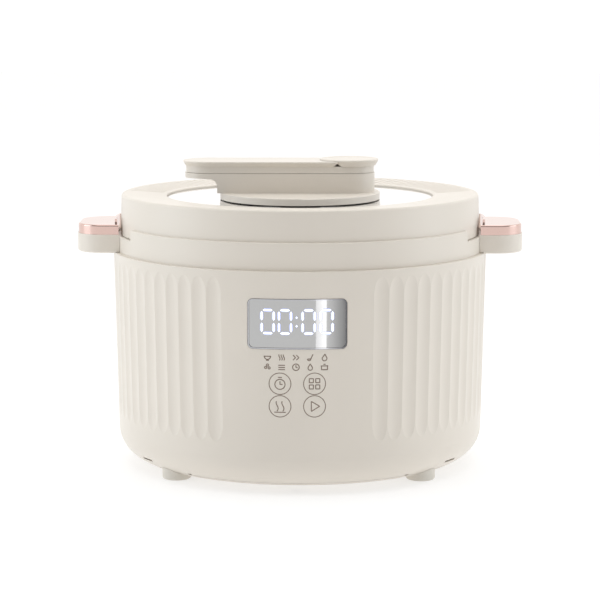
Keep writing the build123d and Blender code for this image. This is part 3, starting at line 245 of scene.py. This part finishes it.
def on_surface(node, x, z, lift):
    """The point of a front-facing CAD surface in front of (x, z), moved out by lift."""
    start = Vector((x, 2 * cad_low.y, z))
    hit, place, normal, _ = frame["nodes"][node].ray_cast(start, Vector((0.0, 1.0, 0.0)))
    if not hit:
        raise ValueError(f"nothing of {node} lies behind x {x}, z {z}")
    return place + normal * lift


def resample(points, step):
    """The same line with a point at least every step."""
    line = [Vector(points[0])]
    for start, end in zip(points, points[1:]):
        start, end = Vector(start), Vector(end)
        pieces = max(1, math.ceil((end - start).length / step))
        line += [start.lerp(end, index / pieces) for index in range(1, pieces + 1)]
    return line


STROKE_STEP = 0.6 * MM
TIP_SHARE = 0.12


def stroke(verts, faces, node, points, width, lift, closed=False, pointed=0.0):
    """Adds one flat stroke of a width along points (x, z); pointed is the length of each tapered end."""
    line = resample(points + ([points[0]] if closed else []), STROKE_STEP)
    if closed:
        line.pop()
    count = len(line)
    travelled = [0.0]
    for start, end in zip(line, line[1:]):
        travelled.append(travelled[-1] + (end - start).length)
    first = len(verts)
    for index, point in enumerate(line):
        before = line[index - 1] if index or closed else point
        after = line[(index + 1) % count] if index + 1 < count or closed else point
        along = (after - before).normalized()
        half = width / 2
        if pointed:
            room = min(travelled[index], travelled[-1] - travelled[index])
            half *= min(1.0, TIP_SHARE + room / pointed)
        side = Vector((-along.y, along.x)) * half
        for edge in (point + side, point - side):
            verts.append(on_surface(node, edge.x, edge.y, lift))
    for index in range(count if closed else count - 1):
        low = first + 2 * index
        high = first + 2 * ((index + 1) % count)
        faces.append((low, low + 1, high + 1, high))


def flat_piece(name, verts, faces, material, thickness):
    """Makes a thin closed piece of the strokes, riding on the base."""
    mesh = bpy.data.meshes.new(name)
    mesh.from_pydata(verts, [], faces)
    mesh.materials.append(material)
    piece = bpy.data.objects.new(name, mesh)
    bpy.context.scene.collection.objects.link(piece)
    solid = piece.modifiers.new("thickness", "SOLIDIFY")
    solid.thickness = thickness
    solid.offset = 1.0
    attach(piece, "base")


def arc(x, z, radius, start, end, steps=20):
    """Points along an arc, in degrees counted from +X."""
    angles = [math.radians(start + (end - start) * index / steps) for index in range(steps + 1)]
    return [(x + radius * math.cos(angle), z + radius * math.sin(angle)) for angle in angles]


def wave(x, swing=0.16, turn=5.5, half=0.8, steps=12):
    """A curl of steam that rises at x: swing sideways, turn in radians, and half its height."""
    shares = [index / steps for index in range(steps + 1)]
    return [(x + swing * math.sin(turn * share), half * (2 * share - 1)) for share in shares]


def box_line(x, z, half):
    """A square about (x, z), from its lower left corner round to it again."""
    corners = ((-1, -1), (1, -1), (1, 1), (-1, 1), (-1, -1))
    return [(x + half * right, z + half * up) for right, up in corners]


# Icons in a square of 2 by 2 units, each a list of lines.
ICONS = {
    "bowl": [arc(0, 0.25, 0.85, 180, 360), [(-1, 0.25), (1, 0.25)], [(-0.4, -0.85), (0.4, -0.85)]],
    "grains": [arc(x, z, 0.3, 0, 360, 10) for x, z in ((-0.5, -0.2), (0.45, -0.3), (0, 0.5))],
    "steam": [wave(-0.6), wave(0), wave(0.6)],
    "rack": [[(-0.9, z), (0.9, z)] for z in (0.5, -0.1, -0.7)],
    "quick": [[(-0.8, 0.7), (-0.1, 0), (-0.8, -0.7)], [(0.1, 0.7), (0.8, 0), (0.1, -0.7)]],
    "clock": [arc(0, 0, 0.9, 0, 360), [(0, 0.55), (0, 0), (0.45, -0.15)]],
    "ladle": [arc(-0.3, -0.4, 0.45, 180, 360), [(0.15, -0.4), (0.75, 0.9)], [(-0.75, -0.4), (0.15, -0.4)]],
    "drop": [arc(0, -0.25, 0.6, 150, 390) + [(0, 0.9), (-0.52, 0.05)]],
    "flame": [arc(0, -0.3, 0.65, 160, 380) + [(0.3, 0.5), (0.1, 0.95), (-0.25, 0.35), (-0.61, -0.08)]],
    "pot": [
        [(-0.8, 0.3), (-0.8, -0.75), (0.8, -0.75), (0.8, 0.3)],
        [(-1, 0.3), (1, 0.3)],
        [(-0.3, 0.75), (0.3, 0.75)],
    ],
    "grid": [box_line(x, z, 0.32) for x in (-0.5, 0.5) for z in (-0.5, 0.5)],
    "warm": [wave(-0.45), wave(0.45), [(-0.9, -0.95), (0.9, -0.95)]],
    "start": [[(-0.5, 0.8), (0.8, 0), (-0.5, -0.8), (-0.5, 0.8)]],
    "timer": [arc(0, -0.1, 0.8, 0, 360), [(0, 0.4), (0, -0.1), (0.4, -0.1)], [(-0.3, 1), (0.3, 1)]],
}

LABEL_PITCH = 8.9 * MM
LABEL_MIDDLE = -0.8 * MM
LABEL_ROWS = (89.3 * MM, 83.2 * MM)
LABEL_HALF = 2.3 * MM
# The upper and the lower icon of each column, from left to right.
LABELS = (("bowl", "grains"), ("steam", "rack"), ("quick", "clock"), ("ladle", "drop"), ("flame", "pot"))
KEY_X = 10.8 * MM
KEY_RADIUS = 6.83 * MM
KEY_ICON = 4.0 * MM
KEYS = {(-1, 72.6 * MM): "timer", (1, 72.6 * MM): "grid", (-1, 58.2 * MM): "warm", (1, 58.2 * MM): "start"}
ICON_STROKE = 0.6 * MM
RING_STROKE = 0.5 * MM
RING_STEPS = 72
PRINT_LIFT = 0.02 * MM
PRINT_THICKNESS = 0.03 * MM


def print_icon(verts, faces, name, x, z, half, width):
    """Adds one icon's strokes, centred on (x, z); half is half the icon's size."""
    for line in ICONS[name]:
        placed = [(x + half * px, z + half * pz) for px, pz in line]
        stroke(verts, faces, "outer_housing", placed, width, PRINT_LIFT)


def panel_prints():
    """The icons under the display and the four ringed touch keys."""
    verts, faces = [], []
    middle_column = len(LABELS) // 2
    for column, names in enumerate(LABELS):
        for name, z in zip(names, LABEL_ROWS):
            x = LABEL_MIDDLE + (column - middle_column) * LABEL_PITCH
            print_icon(verts, faces, name, x, z, LABEL_HALF, ICON_STROKE)
    for (side, z), name in KEYS.items():
        ring = arc(side * KEY_X, z, KEY_RADIUS, 0, 360, RING_STEPS)[:-1]
        stroke(verts, faces, "outer_housing", ring, RING_STROKE, PRINT_LIFT, closed=True)
        print_icon(verts, faces, name, side * KEY_X, z, KEY_ICON, ICON_STROKE)
    ink = moulded("panel_ink", (0.225, 0.165, 0.125), shade=0.9, roughness=(0.4, 0.5))
    flat_piece("panel_prints", verts, faces, ink, PRINT_THICKNESS)


DIGIT_WIDTH = 7.5 * MM
DIGIT_HEIGHT = 14.6 * MM
DIGIT_STROKE = 1.1 * MM
DIGIT_Z = 111.8 * MM
DIGIT_X = (-18.4 * MM, -7.6 * MM, 7.1 * MM, 18.2 * MM)
DIGIT_TAPER = 0.9 * MM
CORNER_GAP = 0.8 * MM
COLON_X = -0.4 * MM
DOT_HALF = 0.6 * MM
DOT_RISE = 2.7 * MM
DOT_STROKE = 1.3 * MM
DOT_TAPER = 0.6 * MM
HALO = 1.0 * MM
GLOW_LIFT = 0.015 * MM
DIGIT_LIFT = 0.06 * MM


def digit_bars():
    """The lines of four seven-segment zeros, with a gap at each corner."""
    low = DIGIT_Z - DIGIT_HEIGHT / 2
    high = DIGIT_Z + DIGIT_HEIGHT / 2
    bars = []
    for x in DIGIT_X:
        left, right = x - DIGIT_WIDTH / 2, x + DIGIT_WIDTH / 2
        bars += [[(left + CORNER_GAP, z), (right - CORNER_GAP, z)] for z in (low, high)]
        for side in (left, right):
            bars.append([(side, low + CORNER_GAP), (side, DIGIT_Z - CORNER_GAP)])
            bars.append([(side, DIGIT_Z + CORNER_GAP), (side, high - CORNER_GAP)])
    return bars


def lit_digits():
    """Four zeros and a colon, lit from behind the lens, over a wider and dimmer glow of their own."""
    bars = digit_bars()
    dot_heights = (DIGIT_Z - DOT_RISE, DIGIT_Z + DOT_RISE)
    dots = [[(COLON_X - DOT_HALF, z), (COLON_X + DOT_HALF, z)] for z in dot_heights]
    layers = (
        ("digit_glow", (0.42, 0.47, 0.78), 0.55, HALO, GLOW_LIFT),
        ("digits", (0.86, 0.92, 1.0), 1.2, 0.0, DIGIT_LIFT),
    )
    for name, colour, strength, widening, lift in layers:
        verts, faces = [], []
        for bar in bars:
            stroke(verts, faces, "display_lens", bar, DIGIT_STROKE + widening, lift, pointed=DIGIT_TAPER)
        for dot in dots:
            stroke(verts, faces, "display_lens", dot, DOT_STROKE + widening, lift, pointed=DOT_TAPER)
        light = glowing(name + "_light", colour, strength)
        flat_piece(name, verts, faces, light, PRINT_THICKNESS)


panel_prints()
lit_digits()


# ---------------------------------------------------------------- camera, light and floor

CAMERA_LENS = 134.1
CAMERA_AZIMUTH = math.radians(0.8)
CAMERA_TILT = math.radians(8.31)
CAMERA_DISTANCE = 1.496
CAMERA_Z = 0.326

camera_data = bpy.data.cameras.new("camera")
camera_data.lens = CAMERA_LENS
camera = bpy.data.objects.new("camera", camera_data)
bpy.context.scene.collection.objects.link(camera)
camera.location = (
    CAMERA_DISTANCE * math.sin(CAMERA_AZIMUTH),
    -CAMERA_DISTANCE * math.cos(CAMERA_AZIMUTH),
    CAMERA_Z,
)
camera.rotation_euler = (math.pi / 2 - CAMERA_TILT, 0.0, CAMERA_AZIMUTH)
camera_data.clip_start = 0.05
camera_data.clip_end = 50.0
bpy.context.scene.camera = camera
bpy.context.scene.view_settings.view_transform = "Standard"


LIGHTS_TARGET = Vector((0.0, 0.0, 0.1))


def soft_box(name, azimuth, elevation, distance, width, height, power, colour=(1.0, 1.0, 1.0)):
    """A softbox that looks at the cooker; azimuth counts from the front towards +X."""
    light_data = bpy.data.lights.new(name, "AREA")
    light_data.shape = "RECTANGLE"
    light_data.size = width
    light_data.size_y = height
    light_data.energy = power
    light_data.color = colour
    light = bpy.data.objects.new(name, light_data)
    bpy.context.scene.collection.objects.link(light)
    turn, tilt = math.radians(azimuth), math.radians(elevation)
    away = Vector((math.sin(turn) * math.cos(tilt), -math.cos(turn) * math.cos(tilt), math.sin(tilt)))
    light.location = LIGHTS_TARGET + away * distance
    light.rotation_euler = (-away).to_track_quat("-Z", "Y").to_euler()
    return light


# The room's light rises from front to back between these two parts of a direction's Y.
ROOM_FRONT_Y, ROOM_BACK_Y = -0.9, 0.5


def make_world(front, back):
    """A room that looks white from every side and gives less light from the front."""
    world = bpy.data.worlds.new("room")
    bpy.context.scene.world = world
    world.use_nodes = True
    tree = world.node_tree
    background = tree.nodes["Background"]
    place = tree.nodes.new("ShaderNodeTexCoord")
    split = tree.nodes.new("ShaderNodeSeparateXYZ")
    ramp = tree.nodes.new("ShaderNodeMapRange")
    ramp.interpolation_type = "SMOOTHSTEP"
    ramp.inputs["From Min"].default_value = ROOM_FRONT_Y
    ramp.inputs["From Max"].default_value = ROOM_BACK_Y
    ramp.inputs["To Min"].default_value = front
    ramp.inputs["To Max"].default_value = back
    tree.links.new(place.outputs["Generated"], split.inputs["Vector"])
    tree.links.new(split.outputs["Y"], ramp.inputs["Value"])
    path = tree.nodes.new("ShaderNodeLightPath")
    seen = tree.nodes.new("ShaderNodeMix")
    seen.data_type = "FLOAT"
    seen.inputs["B"].default_value = back
    tree.links.new(path.outputs["Is Camera Ray"], seen.inputs["Factor"])
    tree.links.new(ramp.outputs["Result"], seen.inputs["A"])
    tree.links.new(seen.outputs["Result"], background.inputs["Strength"])
    background.inputs["Color"].default_value = (1.0, 0.985, 0.965, 1.0)


COOL = (0.82, 0.92, 1.0)
make_world(0.27, 1.10)
soft_box("top_box", 0, 88, 1.6, 1.6, 1.6, 6.8)
near_box = soft_box("near_box", 0, 70, 0.62, 0.5, 0.4, 0.38)
near_box.visible_glossy = False
soft_box("left_box", -80, 12, 1.7, 1.1, 1.5, 8.3, COOL)
soft_box("right_box", 84, 12, 1.7, 1.1, 1.5, 5.9, COOL)

FLOOR_HALF = 6
FLOOR_GLOW = 0.54

floor_mesh = bpy.data.meshes.new("floor")
floor_corners = [(x * FLOOR_HALF, y * FLOOR_HALF, 0) for x, y in ((-1, -1), (1, -1), (1, 1), (-1, 1))]
floor_mesh.from_pydata(floor_corners, [], [(0, 1, 2, 3)])
floor = bpy.data.objects.new("floor", floor_mesh)
bpy.context.scene.collection.objects.link(floor)
paint = moulded("floor_paint", (0.50, 0.50, 0.50), shade=0.99, roughness=(0.6, 0.7), grain=40.0)
paint_shader = paint.node_tree.nodes["Principled BSDF"]
paint_shader.inputs["Emission Color"].default_value = (1.0, 1.0, 1.0, 1.0)
paint_shader.inputs["Emission Strength"].default_value = FLOOR_GLOW
floor_mesh.materials.append(paint)


CARD_LEFT, CARD_RIGHT = 0.066, 0.240
CARD_Y, CARD_HEIGHT = -0.42, 0.095
CARD_GLOW = 1.6
# The card's levels of grey, by their place from its left edge to its right one.
CARD_LEVELS = ((0.24, 0.88), (0.245, 0.42), (0.60, 0.24))
CARD_DARK_FROM = 0.78


def card_light():
    """The card's light: pale, then bright, then ever darker from left to right."""
    material, tree, shader = new_material("card_light")
    place = tree.nodes.new("ShaderNodeTexCoord")
    split = tree.nodes.new("ShaderNodeSeparateXYZ")
    across = tree.nodes.new("ShaderNodeMapRange")
    across.inputs["From Min"].default_value = CARD_LEFT
    across.inputs["From Max"].default_value = CARD_RIGHT
    ramp = tree.nodes.new("ShaderNodeValToRGB")
    ramp.color_ramp.elements[0].color = (0.60, 0.60, 0.61, 1.0)
    ramp.color_ramp.elements[1].position = CARD_DARK_FROM
    ramp.color_ramp.elements[1].color = (0.05, 0.05, 0.05, 1.0)
    for position, level in CARD_LEVELS:
        stop = ramp.color_ramp.elements.new(position)
        stop.color = (level, level, level, 1.0)
    tree.links.new(place.outputs["Object"], split.inputs["Vector"])
    tree.links.new(split.outputs["X"], across.inputs["Value"])
    tree.links.new(across.outputs["Result"], ramp.inputs["Fac"])
    tree.links.new(ramp.outputs["Color"], shader.inputs["Emission Color"])
    tree.links.new(ramp.outputs["Color"], shader.inputs["Base Color"])
    shader.inputs["Emission Strength"].default_value = CARD_GLOW
    shader.inputs["Specular IOR Level"].default_value = 0.0
    return material


# The card stands in the room in front of the cooker and shows only in mirror-like faces.
card_mesh = bpy.data.meshes.new("room_card")
card_corners = [(x, CARD_Y, z) for x, z in (
    (CARD_LEFT, 0), (CARD_RIGHT, 0), (CARD_RIGHT, CARD_HEIGHT), (CARD_LEFT, CARD_HEIGHT))]
card_mesh.from_pydata(card_corners, [], [(0, 1, 2, 3)])
card_mesh.materials.append(card_light())
card = bpy.data.objects.new("room_card", card_mesh)
bpy.context.scene.collection.objects.link(card)
card.visible_camera = False
card.visible_diffuse = False
card.visible_shadow = False
